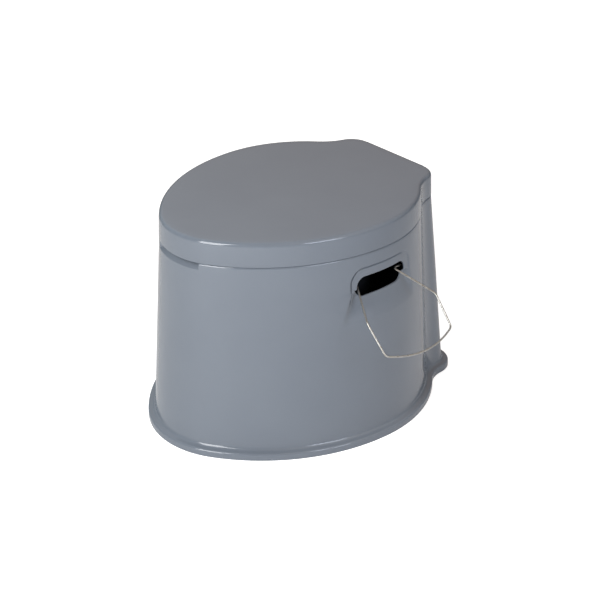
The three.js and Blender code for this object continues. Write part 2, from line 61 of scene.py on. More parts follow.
HALF_WIDTH = 169.5
NOSE_Y = -230.3
REAR_Y = 187.5
SIDE_RADIUS = 258.0
HIP_RADIUS = 179.0
NECK_RADIUS = 79.0
BLOCK_HALF_WIDTH = 95.0
BLOCK_RADIUS = 32.0
BLOCK_RADIUS_AT_FLOOR = 9.0

WALL_TOP_SPREAD = 1.8
WALL_SPREAD = 19.5
WALL_FOOT = 18.0
REAR_LEAN = 1.2
FOOT_SPREAD = 30.5
LID_BOTTOM_SPREAD = 2.3
LID_TOP_SPREAD = 0.7
LID_FILLET = 6.0

OVAL_Y = -25.0
OVAL_POWER = 2.6
LEDGE = 280.0
POCKET = (127.0, 157.0)
LEDGE_HOLE = (112.0, 142.0)
BUCKET_MOUTH = (106.0, 136.0)
BUCKET_FLANGE = (124.0, 154.0)
BUCKET_FLOOR = (88.0, 118.0)
BUCKET_BOTTOM = 68.0
BUCKET_WALL = 2.5
FLANGE_TOP = LEDGE + GAP + WALL
COVER_RIM = (113.0, 143.0)
COVER_DISH = (58.0, 88.0)
COVER_TOP = FLANGE_TOP + GAP + 2.8
COVER_DISH_DEPTH = 17.0
SEAT_HOLE = (98.0, 128.0)
SEAT_HOLE_POWER = 2.2
SEAT_INSET = -7.5
SEAT_BOTTOM = 300.0
SEAT_TOP = 320.0

HINGE_Y = 194.2
HINGE_Z = 299.0
HINGE_RADIUS = 6.5
PIN_RADIUS = 2.5
PIN_HEAD_RADIUS = 4.5
LUG_SPANS = ((22.0, 28.0), (45.0, 51.0))
SEAT_KNUCKLE = (29.0, 36.0)
LID_KNUCKLE = (37.0, 44.0)
WINDOW_HALF_WIDTH = 61.0
WINDOW_TOP = 307.0

NOTCH_HALF_WIDTH = 43.0
NOTCH_BOTTOM = 288.5
NOTCH_DEPTH = 13.0

# Carrying slot and the recess round it: half length, half height, corner radius, middle height.
SLOT = (46.0, 16.0, 14.0, 243.5)
RECESS = (57.0, 26.0, 22.0, 248.0)
SLOT_Y = 2.5

# A groove follows the edge of the recess and fades to this share between two places along y.
GROOVE_DEPTH = 3.0
GROOVE_FADE = (28.0, 50.0)
GROOVE_FADED = 0.25
BAND_DEPTH = 1.3

# Hand scoop that deepens from its bottom up to the slot, and closes again above its top.
SCOOP_DEPTH = 7.5
SCOOP_TOP = 236.0
SCOOP_BOTTOM = 192.0
SCOOP_TOP_HALF = 58.0
SCOOP_BOTTOM_HALF = 72.0
SCOOP_FLANK = 10.0
SCOOP_CLOSING = 9.0

# Part of the wall that is meshed in rings round the slot instead of in rows.
PATCH_HALF = 95.0
PATCH_BOTTOM = 150.0
PATCH_TOP = 284.0

BAIL_Z = 288.2
BAIL_RADIUS = 2.0
BAIL_HALF_WIDTH = 121.5
BAIL_REACH = 149.5
GRIP_RADIUS = 4.5
GRIP_HALF_LENGTH = 36.0
GRIP_RIDGES = 11
EAR_SPAN = (116.2, 118.2)

# Roll holder: (x, z) of the line it swings on, then points of its front half, y counted forwards.
HOLDER_RADIUS = 1.4
HOLDER_PIVOT = (157.5, 246.0)
HOLDER_TIP_Y = 54.0
HOLDER_HOOK_Y = 35.5
HOLDER_KINK = (214.0, 66.0, 217.0)
HOLDER_CORNER = (250.0, 63.5, 179.0)
HOLDER_APEX = (261.5, 0.0, 170.5)

SEAT_PAD_RADIUS = 7.5
LID_PAD_RADIUS = 6.0
PAD_PLACES = {
    "front_left": {"seat": (-126, -118), "lid": (-112, -105)},
    "front_right": {"seat": (126, -118), "lid": (112, -105)},
    "rear_left": {"seat": (-120, 94), "lid": (-112, 80)},
    "rear_right": {"seat": (120, 94), "lid": (112, 80)},
}

# The rear edge of the foot rim places the plan frame in the row frame.
TUB_LOW, TUB_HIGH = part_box("outer_tub")
ORIGIN_Y = TUB_HIGH.y - (REAR_Y + REAR_LEAN + FOOT_SPREAD) * MM


def at(x, y, z):
    """Row-frame position of a plan-frame point in millimetres."""
    return Vector((x * MM, y * MM + ORIGIN_Y, z * MM))


def grow(axes, by):
    return (axes[0] + by, axes[1] + by)


def smooth(value):
    """Smooth step from 0 to 1."""
    t = np.clip(value, 0.0, 1.0)
    return t * t * (3.0 - 2.0 * t)


# ------------------------------------------------------------------ plan outline


def spaced(edges, steps, pair=0.0):
    """Parameters from edges[0] to edges[-1]; each inner edge becomes a close pair of values."""
    values = []
    for i, count in enumerate(steps):
        inner = pair > 0 and i + 2 < len(edges)
        start = edges[i] + (pair if i else 0.0)
        end = edges[i + 1] - (pair if inner else 0.0)
        values.append(np.linspace(start, end, count, endpoint=inner))
    return np.concatenate(values)


# The nose arc passes through the front point and runs smoothly into the side arcs.
SIDE_X = HALF_WIDTH - SIDE_RADIUS
HIP_X = HALF_WIDTH - HIP_RADIUS
NOSE_RADIUS = (SIDE_RADIUS**2 - SIDE_X**2 - NOSE_Y**2) / (2 * (SIDE_RADIUS + NOSE_Y))
NOSE_CENTRE_Y = NOSE_Y + NOSE_RADIUS
JOIN_ANGLE = math.atan2(NOSE_CENTRE_Y, -SIDE_X)
NOSE_SPAN = JOIN_ANGLE + math.pi / 2
EDGE_GAP = 0.25  # between the two columns on either side of a sharp step


def block(z):
    """Back of the hinge block and its corner radius: deeper and tighter towards the floor."""
    depth = max(0.0, PARTING - z) / PARTING
    corner = BLOCK_RADIUS + (BLOCK_RADIUS_AT_FLOOR - BLOCK_RADIUS) * depth
    return REAR_Y + REAR_LEAN * depth, corner


def neck(z):
    """Centre of the hollow neck arc and the angles at which the hip and corner arcs meet it."""
    rear_y, corner = block(z)
    corner_x, corner_y = BLOCK_HALF_WIDTH - corner, rear_y - corner
    to_hip = HIP_RADIUS + NECK_RADIUS
    to_corner = corner + NECK_RADIUS
    across = corner_x - HIP_X
    span = math.hypot(across, corner_y)
    along = (to_hip**2 - to_corner**2 + span**2) / (2 * span)
    aside = math.sqrt(to_hip**2 - along**2)
    x = HIP_X + (across * along + corner_y * aside) / span
    y = (corner_y * along - across * aside) / span
    return x, y, math.atan2(y, x - HIP_X), math.atan2(y - corner_y, x - corner_x)


HIP_END = neck(PARTING)[2]
FLAT_HALF = BLOCK_HALF_WIDTH - BLOCK_RADIUS

# Columns of each stretch of the outline, split at the notch, the wall patch and the hinge window.
NOTCH_COLUMNS, NOSE_COLUMNS = 20, 12
FRONT_SIDE_COLUMNS, SIDE_PATCH_COLUMNS = 22, 32
HIP_PATCH_COLUMNS, REAR_HIP_COLUMNS = 34, 16
ARC_COLUMNS = 18
CORNER_COLUMNS, WINDOW_COLUMNS = 4, 16
STEPS = {
    "nose": spaced(
        (0, math.asin(NOTCH_HALF_WIDTH / NOSE_RADIUS) / NOSE_SPAN, 1),
        (NOTCH_COLUMNS, NOSE_COLUMNS),
        EDGE_GAP / (NOSE_RADIUS * NOSE_SPAN),
    ),
    "side": spaced(
        (0, 1 + math.asin(PATCH_HALF / SIDE_RADIUS) / JOIN_ANGLE, 1),
        (FRONT_SIDE_COLUMNS, SIDE_PATCH_COLUMNS),
    ),
    "hip": spaced(
        (0, math.asin(PATCH_HALF / HIP_RADIUS) / HIP_END, 1),
        (HIP_PATCH_COLUMNS, REAR_HIP_COLUMNS),
    ),
    "neck": spaced((0, 1), (ARC_COLUMNS,)),
    "corner": spaced((0, 1), (ARC_COLUMNS,)),
    "rear": spaced(
        (0, 1 - WINDOW_HALF_WIDTH / FLAT_HALF, 1),
        (CORNER_COLUMNS, WINDOW_COLUMNS),
        EDGE_GAP / FLAT_HALF,
    ),
}
HALF_COUNT = sum(len(values) for values in STEPS.values())
SIDE_START = len(STEPS["nose"])
HIP_START = SIDE_START + len(STEPS["side"])


def rear_columns(corner_x):
    """x of the columns along the flat back: those of the hinge window keep their place."""
    x = FLAT_HALF * (1 - STEPS["rear"])
    spread = (corner_x - WINDOW_HALF_WIDTH) / (FLAT_HALF - WINDOW_HALF_WIDTH)
    beside = WINDOW_HALF_WIDTH + (x - WINDOW_HALF_WIDTH) * spread
    return np.where(x > WINDOW_HALF_WIDTH, beside, x)


def half_ring(offset, z):
    """Right half of the outline from the nose, without the rear middle point."""
    rear_y, corner = block(z)
    corner_x, corner_y = BLOCK_HALF_WIDTH - corner, rear_y - corner
    neck_x, neck_y, hip_end, corner_start = neck(z)
    offsets = np.broadcast_to(np.asarray(offset, float), HALF_COUNT)
    arcs = (
        ("nose", 0.0, NOSE_CENTRE_Y, NOSE_RADIUS, 1, -math.pi / 2, JOIN_ANGLE),
        ("side", SIDE_X, 0.0, SIDE_RADIUS, 1, JOIN_ANGLE, 0.0),
        ("hip", HIP_X, 0.0, HIP_RADIUS, 1, 0.0, hip_end),
        ("neck", neck_x, neck_y, NECK_RADIUS, -1, hip_end + math.pi, corner_start + math.pi),
        ("corner", corner_x, corner_y, corner, 1, corner_start, math.pi / 2),
    )
    points = []
    first = 0
    for name, x, y, radius, sign, start, end in arcs:
        angles = start + (end - start) * STEPS[name]
        reach = radius + sign * offsets[first : first + len(angles)]
        points.append(np.stack([x + reach * np.cos(angles), y + reach * np.sin(angles)], 1))
        first += len(angles)
    x = rear_columns(corner_x)
    points.append(np.stack([x, rear_y + offsets[first:]], 1))
    return np.concatenate(points)


def plan_ring(offset=0.0, z=PARTING):
    """Whole outline, counter-clockwise from the nose; offset may differ per half column."""
    right = half_ring(offset, z)
    middle = np.array([[0.0, right[-1, 1]]])
    left = right[:0:-1] * (-1, 1)
    return np.concatenate([right, middle, left])


RIM = plan_ring()
COLUMNS = len(RIM)
COLUMN_ANGLES = np.arctan2(RIM[:, 1] - OVAL_Y, RIM[:, 0])


def oval_points(axes, angles=COLUMN_ANGLES, power=OVAL_POWER):
    """Squared oval round the bucket's axis, in the directions of the given angles."""
    across = np.abs(np.cos(angles) / axes[0]) ** power
    along = np.abs(np.sin(angles) / axes[1]) ** power
    radius = (across + along) ** (-1 / power)
    return np.stack([radius * np.cos(angles), OVAL_Y + radius * np.sin(angles)], 1)


def lean(z):
    """Outward growth of the tub wall at a height."""
    depth = (PARTING - z) / (PARTING - WALL_FOOT)
    return WALL_TOP_SPREAD + (WALL_SPREAD - WALL_TOP_SPREAD) * depth


def row(points, z):
    """Ring of 3-D points; z is one height or one per point."""
    return np.column_stack([points, np.broadcast_to(z, len(points))])


def wall_row(offset, z):
    return row(plan_ring(offset, z), z)


# ------------------------------------------------------------------ profiles and meshes


def rounded(corners, steps=6):
    """Polyline (across, height, radius) with each inner corner turned into an arc."""
    points = [np.array(c[:2], float) for c in corners]
    result = [points[0]]
    for before, here, after, corner in zip(points, points[1:], points[2:], corners[1:]):
        radius = corner[2] if len(corner) > 2 else 0.0
        into = (here - before) / np.linalg.norm(here - before)
        out = (after - here) / np.linalg.norm(after - here)
        turn = math.acos(max(-1.0, min(1.0, float(into @ out))))
        if radius <= 0 or turn < 0.01:
            result.append(here)
            continue
        reach = radius * math.tan(turn / 2)
        bisector = (out - into) / np.linalg.norm(out - into)
        centre = here + bisector * radius / math.cos(turn / 2)
        start = here - into * reach - centre
        end = here + out * reach - centre
        for k in range(steps + 1):
            t = k / steps
            blend = start * math.sin((1 - t) * turn) + end * math.sin(t * turn)
            result.append(centre + blend / math.sin(turn))
    result.append(points[-1])
    return [(float(p[0]), float(p[1])) for p in result]


class Sheet:
    """Points in plan millimetres and faces of one mesh."""

    def __init__(self):
        self.points = []
        self.faces = []

    def add(self, points):
        first = len(self.points)
        self.points.extend(np.asarray(points, float).tolist())
        return list(range(first, len(self.points)))

    def bridge(self, low, high, closed=True, keep=None, flip=False):
        """Quads between two rows of equal length; keep(i) may leave out the quad after column i."""
        count = len(low)
        for i in range(count if closed else count - 1):
            if keep is not None and not keep(i):
                continue
            j = (i + 1) % count
            face = [low[i], low[j], high[j], high[i]]
            self.faces.append(face[::-1] if flip else face)

    def stack(self, rows, closed_profile=False, keep=None):
        """Bridges rows one after another, upwards along an outer face."""
        ids = [self.add(points) for points in rows]
        for k in range(len(ids) - 1):
            self.bridge(ids[k], ids[k + 1], keep=None if keep is None else keep(k))
        if closed_profile:
            self.bridge(ids[-1], ids[0])
        return ids

    def cap(self, ring, flip=False):
        self.faces.append(list(ring[::-1]) if flip else list(ring))


def build(name, sheet, material, body, replaces=()):
    """Makes the mesh object, shades it smooth and puts it on its CAD body."""
    points = np.array(sheet.points) * MM
    points[:, 1] += ORIGIN_Y
    mesh = bpy.data.meshes.new(name)
    mesh.from_pydata(points.tolist(), [], sheet.faces)
    mesh.validate()
    mesh.shade_smooth()
    mesh.materials.append(material)
    piece = bpy.data.objects.new(name, mesh)
    bpy.context.scene.collection.objects.link(piece)
    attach(piece, body)
    if replaces:
        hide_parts(*replaces)
    return piece


def circle_rows(profile, sides=48):
    """Rows of a turned shape from (radius, height) points, round the z axis."""
    angles = np.linspace(0, 2 * math.pi, sides, endpoint=False)
    ring = np.stack([np.cos(angles), np.sin(angles)], 1)
    return [row(ring * radius, z) for radius, z in profile]


def lathe(profile, sides=48, closed_profile=False):
    sheet = Sheet()
    ids = sheet.stack(circle_rows(profile, sides), closed_profile)
    if not closed_profile:
        sheet.cap(ids[0], flip=True)
        sheet.cap(ids[-1])
    return sheet


def along_x(points, y, z, x=0.0):
    """Turns a shape standing round z so that it lies along x through (y, z)."""
    return np.column_stack([points[:, 2] + x, points[:, 0] + y, points[:, 1] + z])


def bezier(points, steps):
    """Samples of a quadratic or cubic Bezier curve, without the last one."""
    points = [np.array(p, float) for p in points]
    samples = []
    for k in range(steps):
        t = k / steps
        level = points
        while len(level) > 1:
            level = [a + (b - a) * t for a, b in zip(level, level[1:])]
        samples.append(level[0])
    return samples


def toward(start, end, length):
    start, end = np.array(start, float), np.array(end, float)
    return start + (end - start) * (length / np.linalg.norm(end - start))


def tube(path, radius, sides=16):
    """Closed round wire along a path, with domed ends."""
    path = np.array(path, float)
    tangents = np.gradient(path, axis=0)
    tangents /= np.linalg.norm(tangents, axis=1)[:, None]
    side = np.cross(tangents[0], (0.0, 0.0, 1.0))
    if np.linalg.norm(side) < 1e-3:
        side = np.cross(tangents[0], (1.0, 0.0, 0.0))
    angles = np.linspace(0, 2 * math.pi, sides, endpoint=False)
    rows = []
    frames = []
    for tangent in tangents:
        side = side - tangent * (side @ tangent)
        side /= np.linalg.norm(side)
        frames.append((side, np.cross(tangent, side)))
    dome = ((0.25, -0.97), (0.7, -0.7), (0.95, -0.3))
    for share, along in dome:
        rows.append((path[0] + tangents[0] * along * radius, frames[0], share))
    rows += [(p, f, 1.0) for p, f in zip(path, frames)]
    for share, along in dome[::-1]:
        rows.append((path[-1] - tangents[-1] * along * radius, frames[-1], share))
    sheet = Sheet()
    rings = []
    for centre, (across, up), share in rows:
        ring = np.outer(np.cos(angles), across) + np.outer(np.sin(angles), up)
        rings.append(centre + ring * radius * share)
    ids = sheet.stack(rings)
    sheet.cap(ids[0], flip=True)
    sheet.cap(ids[-1])
    return sheet


def extrude_x(outline, start, end, bevel=0.5):
    """Plate between two x stations from a counter-clockwise (y, z) outline, with eased edges."""
    outline = np.array(outline, float)
    middle = outline.mean(0)
    shrink = 1 - bevel / np.abs(outline - middle).max()
    small = middle + (outline - middle) * shrink
    stations = ((small, start), (outline, start + bevel), (outline, end - bevel), (small, end))
    sheet = Sheet()
    rows = [np.column_stack([np.full(len(p), x), p]) for p, x in stations]
    ids = sheet.stack(rows)
    sheet.cap(ids[0], flip=True)
    sheet.cap(ids[-1])
    return sheet


def joined(*sheets):
    """One sheet that holds several closed bodies of the same piece."""
    total = Sheet()
    for sheet in sheets:
        first = len(total.points)
        total.points.extend(sheet.points)
        total.faces.extend([[i + first for i in face] for face in sheet.faces])
    return total


def mirrored(sheet):
    copy = Sheet()
    copy.points = [[-x, y, z] for x, y, z in sheet.points]
    copy.faces = [face[::-1] for face in sheet.faces]
    return copy


# ------------------------------------------------------------------ outer tub

# Rings round the slot: its eased lip with how far each ring is sunk, then the groove's.
LIP_GROWTHS = (0.0, 0.15, 0.5, 1.2)
LIP_EASING = (1.0, 0.45, 0.12, 0.0)
GROOVE_GROWTHS = (-4.0, -3.5, -3.0, -2.5, -2.0, -1.6, -1.2, -0.9, -0.6, -0.35, -0.1, 0.1, 0.35)

WALL_ROWS = [float(z) for z in np.linspace(PATCH_BOTTOM, PATCH_TOP, 30)]
RIGHT_PATCH = (SIDE_START + FRONT_SIDE_COLUMNS, HIP_START + HIP_PATCH_COLUMNS)
LEFT_PATCH = (COLUMNS - RIGHT_PATCH[1], COLUMNS - RIGHT_PATCH[0])

WALL_START = 24.0      # top of the flare that joins the foot to the wall
INNER_NOTCH_COLUMNS = NOTCH_COLUMNS + 4


def in_patch(column):
    return any(first <= column < last for first, last in (RIGHT_PATCH, LEFT_PATCH))


def notched(offset, z, extra=0.0, columns=NOTCH_COLUMNS):
    """Offset per half column, set back behind the finger notch where the row is above its floor."""
    offsets = np.full(HALF_COUNT, float(offset))
    if z >= NOTCH_BOTTOM - extra:
        offsets[:columns] = np.minimum(offsets[:columns], -NOTCH_DEPTH - extra)
    return offsets


def slot_edge(u, v, half_length, half_height, radius, middle, growth=0.0):
    """Point of a rounded rectangle for a direction (u, v) on the edge of the unit square."""
    a, b, r = half_length + growth, half_height + growth, radius + growth
    y, z = u * a, v * b
    cy, cz = math.copysign(a - r, y), math.copysign(b - r, z)
    if abs(y) > a - r and abs(z) > b - r:
        length = math.hypot(y - cy, z - cz)
        y, z = cy + (y - cy) * r / length, cz + (z - cz) * r / length
    return y, middle + z


def inside_distance(y, z, half_length, half_height, radius, middle):
    """Distance inwards from the edge of a rounded rectangle, negative outside."""
    dy = np.abs(y) - (half_length - radius)
    dz = np.abs(z - middle) - (half_height - radius)
    outside = np.hypot(np.maximum(dy, 0), np.maximum(dz, 0)) + np.minimum(np.maximum(dy, dz), 0)
    return radius - outside


def slot_depth(y, z):
    """How far the wall is set back round a carrying slot.

    A groove runs round a shallow band, and below the slot a scoop deepens towards its lip.
    """
    y, z = np.asarray(y, float) - SLOT_Y, np.asarray(z, float)
    inside = inside_distance(y, z, *RECESS)
    fade = smooth((y - GROOVE_FADE[0]) / (GROOVE_FADE[1] - GROOVE_FADE[0]))
    share = np.maximum(1 - (1 - GROOVE_FADED) * fade, BAND_DEPTH / GROOVE_DEPTH)
    groove = GROOVE_DEPTH * share * smooth((inside + 0.3) / 1.3)
    rise = (GROOVE_DEPTH - BAND_DEPTH) * smooth((inside - 1.2) / 2.2)
    band = np.minimum(groove, GROOVE_DEPTH - rise)
    run = np.clip((z - SCOOP_BOTTOM) / (SCOOP_TOP - SCOOP_BOTTOM), 0, 1)
    half = SCOOP_BOTTOM_HALF + (SCOOP_TOP_HALF - SCOOP_BOTTOM_HALF) * run
    flank = smooth((half - np.abs(y)) / SCOOP_FLANK)
    closing = 1 - smooth((z - SCOOP_TOP) / SCOOP_CLOSING)
    scoop = SCOOP_DEPTH * (0.45 * run + 0.55 * smooth(run)) * flank * closing
    return np.maximum(band, scoop)


def wall_point(y0, z, depth):
    """Point of the right side wall from its y at the parting height, set back by a depth."""
    y0, z, depth = (np.asarray(value, float) for value in (y0, z, depth))
    front = y0 < 0
    radius = np.where(front, SIDE_RADIUS, HIP_RADIUS)
    centre = np.where(front, SIDE_X, HIP_X)
    sine = y0 / radius
    reach = radius + lean(z) - depth
    return np.stack([centre + reach * np.sqrt(1 - sine**2), reach * sine, z], 1)


def patch_border(ids):
    """Grid vertices round the patch, counter-clockwise seen from outside, with their (y0, z)."""
    first, last = RIGHT_PATCH
    rows = list(range(len(WALL_ROWS)))
    columns = list(range(first, last + 1))
    loop = [(c, 0) for c in columns[:-1]]
    loop += [(columns[-1], r) for r in rows[:-1]]
    loop += [(c, rows[-1]) for c in columns[:0:-1]]
    loop += [(columns[0], r) for r in rows[:0:-1]]
    vertices = [ids[r][c] for c, r in loop]
    params = []
    for c, r in loop:
        z = WALL_ROWS[r]
        if c < HIP_START:
            angle = JOIN_ANGLE * (1 - STEPS["side"][c - SIDE_START])
            y0 = SIDE_RADIUS * math.sin(angle)
        else:
            angle = neck(z)[2] * STEPS["hip"][c - HIP_START]
            y0 = HIP_RADIUS * math.sin(angle)
        params.append((y0, z))
    return vertices, np.array(params)


def edge_ring(square, shape, growth):
    """Rounded rectangle round the slot, grown evenly, where rays to the patch border cross it."""
    return np.array([slot_edge(u, v, *shape, growth) for u, v in square]) + (SLOT_Y, 0.0)


def patch_rings(params):
    """(y, z) rings from the slot's edge out to just inside the patch border."""
    middle = (PATCH_BOTTOM + PATCH_TOP) / 2
    half_height = (PATCH_TOP - PATCH_BOTTOM) / 2
    square = params / (PATCH_HALF, 1) - (0, middle)
    square[:, 1] /= half_height
    square /= np.abs(square).max(1)[:, None]
    lip = [edge_ring(square, SLOT, growth) for growth in LIP_GROWTHS]
    groove = [edge_ring(square, RECESS, growth) for growth in GROOVE_GROWTHS]
    between = [lip[-1] + (groove[0] - lip[-1]) * t for t in np.linspace(0, 1, 6)[1:-1]]
    outside = [groove[-1] + (params - groove[-1]) * t for t in np.linspace(0, 1, 34)[1:-1]]
    return lip, between + groove + outside


def add_slot(sheet, outer_ids, inner_ids):
    """Fills the right-hand patch of both faces with the recess, the scoop and the open slot."""
    outer_border, params = patch_border(outer_ids)
    inner_border, _ = patch_border(inner_ids)
    lip, body = patch_rings(params)
    outer = []
    inner = []
    for ring, eased in list(zip(lip, LIP_EASING)) + [(ring, 0.0) for ring in body]:
        y, z = ring.T
        depth = slot_depth(y, z)
        outer.append(sheet.add(wall_point(y, z, depth + eased)))
        inner.append(sheet.add(wall_point(y, z, depth + WALL - eased)))
    for faces, border, flip in ((outer, outer_border, False), (inner, inner_border, True)):
        chain = faces + [border]
        for near, far in zip(chain, chain[1:]):
            sheet.bridge(far, near, flip=flip)
    sheet.bridge(outer[0], inner[0])


def foot_rows():
    """Rows of the outer face of the foot, from the floor up to the wall."""
    profile = rounded(
        [
            (FOOT_SPREAD - WALL, 0.0),
            (FOOT_SPREAD, 0.0, 0.9),
            (FOOT_SPREAD, 10.6, 3.4),
            (WALL_SPREAD + 0.6, 12.6, 5.5),
            (lean(WALL_START), WALL_START),
        ]
    )
    return [wall_row(offset, z) for offset, z in profile]


def deck_rows():
    """Rows over the deck, down into the sunken ledge, round its hole and back up under the deck."""
    lip = rounded(
        [(lean(PATCH_TOP + 1), PATCH_TOP + 1), (WALL_TOP_SPREAD, DECK, 3.4), (-16.0, DECK)],
        steps=8,
    )
    rows = [wall_row(notched(offset, z), z) for offset, z in lip]
    pocket = rounded(
        [(1.6, DECK), (0.0, DECK, 1.2), (0.0, LEDGE, 0.8), (-14.2, LEDGE, 0.8)],
        steps=4,
    )
    rows += [row(oval_points(grow(POCKET, by)), z) for by, z in pocket]
    hole = [(0.0, LEDGE), (-0.2, LEDGE - 0.3), (-0.2, LEDGE - 2.7), (0.3, LEDGE - WALL)]
    rows += [row(oval_points(grow(LEDGE_HOLE, by)), z) for by, z in hole]
    under = [(WALL, LEDGE - WALL), (WALL + 0.2, DECK - WALL - 1), (WALL + 1.5, DECK - WALL)]
    rows += [row(oval_points(grow(POCKET, by)), z) for by, z in under]
    inner_top = [(-21.0, DECK - WALL), (-8.0, DECK - WALL), (-3.2, DECK - WALL - 1.5)]
    for offset, z in inner_top:
        rows.append(wall_row(notched(offset, z, WALL, INNER_NOTCH_COLUMNS), z))
    return rows


def inner_foot_rows():
    profile = rounded(
        [
            (lean(WALL_START) - WALL, WALL_START),
            (WALL_SPREAD - 2.2, 9.6, 4.0),
            (FOOT_SPREAD - WALL, 7.6, 1.0),
            (FOOT_SPREAD - WALL, 0.6),
        ],
        steps=4,
    )
    return [wall_row(offset, z) for offset, z in profile]


def tub_rows():
    """All rows, up the outer face and down the inner one, with where each wall starts in them."""
    low_heights = np.linspace(WALL_START, PATCH_BOTTOM, 12)[1:-1]
    rows = foot_rows()
    rows += [wall_row(lean(z), z) for z in low_heights]
    outer_start = len(rows)
    rows += [wall_row(notched(lean(z), z), z) for z in WALL_ROWS]
    rows += deck_rows()
    inner_start = len(rows)
    for z in WALL_ROWS[::-1]:
        rows.append(wall_row(notched(lean(z) - WALL, z, WALL, INNER_NOTCH_COLUMNS), z))
    rows += [wall_row(lean(z) - WALL, z) for z in low_heights[::-1]]
    rows += inner_foot_rows()
    return rows, outer_start, inner_start


def add_left_slot(sheet, outer_ids, inner_ids):
    """Makes the right-hand slot on a mirror image of the sheet and mirrors it back."""
    image = Sheet()
    image.points = [[-x, y, z] for x, y, z in sheet.points]
    grids = []
    for ids in (outer_ids, inner_ids):
        grids.append([[ring[-i % COLUMNS] for i in range(COLUMNS)] for ring in ids])
    add_slot(image, *grids)
    added = image.points[len(sheet.points) :]
    sheet.points.extend([[-x, y, z] for x, y, z in added])
    sheet.faces.extend([face[::-1] for face in image.faces])


def lug_plate(span, web):
    """Knuckle disc with its web as one eased plate; the pin fills its hole."""
    disc = [
        (HINGE_Y + HINGE_RADIUS * math.cos(a), HINGE_Z + HINGE_RADIUS * math.sin(a))
        for a in np.linspace(web["from"], web["to"], 24)
    ]
    return extrude_x(disc + web["root"], span[0], span[1])


def outer_tub(material):
    rows, outer_start, inner_start = tub_rows()
    wall_count = len(WALL_ROWS)

    def keep(k):
        """Leaves both wall patches out of the rows that cross them."""
        in_outer = outer_start <= k < outer_start + wall_count - 1
        in_inner = inner_start <= k < inner_start + wall_count - 1
        return (lambda column: not in_patch(column)) if in_outer or in_inner else None

    sheet = Sheet()
    ids = sheet.stack(rows, closed_profile=True, keep=keep)
    outer_ids = ids[outer_start : outer_start + wall_count]
    inner_ids = ids[inner_start : inner_start + wall_count][::-1]
    add_slot(sheet, outer_ids, inner_ids)
    add_left_slot(sheet, outer_ids, inner_ids)
    build("outer_tub_shell", sheet, material, "tub", ["outer_tub"])
    web = {
        "from": -0.15 * math.pi,
        "to": 0.95 * math.pi,
        "root": [(188.5, HINGE_Z - 5), (188.5, HINGE_Z - 18), (190.8, HINGE_Z - 18)],
    }
    right = joined(*[lug_plate(span, web) for span in LUG_SPANS])
    build("tub_hinge_lugs", joined(right, mirrored(right)), material, "tub")


# ------------------------------------------------------------------ lid


def window_lift(z, bottom):
    """Heights per column with the skirt raised over the hinge window at the rear."""
    lifted = WINDOW_TOP + (z - bottom) * (LID_TOP - WINDOW_TOP) / (LID_TOP - bottom)
    in_window = (np.abs(RIM[:, 0]) < WINDOW_HALF_WIDTH) & (RIM[:, 1] > REAR_Y - 1)
    return np.where(in_window, lifted, z)


def lid(material):
    """Flat-topped cap whose skirt stands on the parting line, open below."""
    bottom = DECK + GAP
    outer = rounded(
        [
            (LID_BOTTOM_SPREAD - WALL, bottom + 0.5),
            (LID_BOTTOM_SPREAD - WALL, bottom, 0.45),
            (LID_BOTTOM_SPREAD, bottom, 0.7),
            (LID_TOP_SPREAD, LID_TOP, LID_FILLET),
            (-16.0, LID_TOP),
        ],
        steps=10,
    )
    rows = [row(plan_ring(offset), window_lift(z, bottom)) for offset, z in outer]
    rows += [row(oval_points(axes), LID_TOP) for axes in ((120, 150), (70, 90), (20, 28))]
    sheet = Sheet()
    ids = sheet.stack(rows)
    sheet.cap(ids[-1])
    inside = rounded(
        [
            (LID_BOTTOM_SPREAD - WALL, bottom + 0.5),
            (LID_TOP_SPREAD - WALL, LID_TOP - WALL, 3.0),
            (-16.0, LID_TOP - WALL),
        ],
        steps=6,
    )
    under = [row(plan_ring(offset), window_lift(z, bottom)) for offset, z in inside[1:]]
    under += [row(oval_points(axes), LID_TOP - WALL) for axes in ((120, 150), (70, 90), (20, 28))]
    under_ids = [ids[0]] + [sheet.add(points) for points in under]
    for near, far in zip(under_ids, under_ids[1:]):
        sheet.bridge(near, far, flip=True)
    sheet.cap(under_ids[-1], flip=True)
    build("lid_shell", sheet, material, "lid", ["lid"])
    web = {
        "from": -0.85 * math.pi,
        "to": 0.05 * math.pi,
        "root": [(192.4, HINGE_Z + 14), (187.6, HINGE_Z + 14)],
    }
    right = lug_plate(LID_KNUCKLE, web)
    build("lid_hinge_knuckles", joined(right, mirrored(right)), material, "lid")


# ------------------------------------------------------------------ seat


def seat_row(across, z):
    """Ring at a share of the seat's width: 0 follows the outline, 1 the hole."""
    outer = plan_ring(SEAT_INSET)
    angles = np.arctan2(outer[:, 1] - OVAL_Y, outer[:, 0])
    inner = oval_points(SEAT_HOLE, angles, SEAT_HOLE_POWER)
    return row(outer + (inner - outer) * across, z)


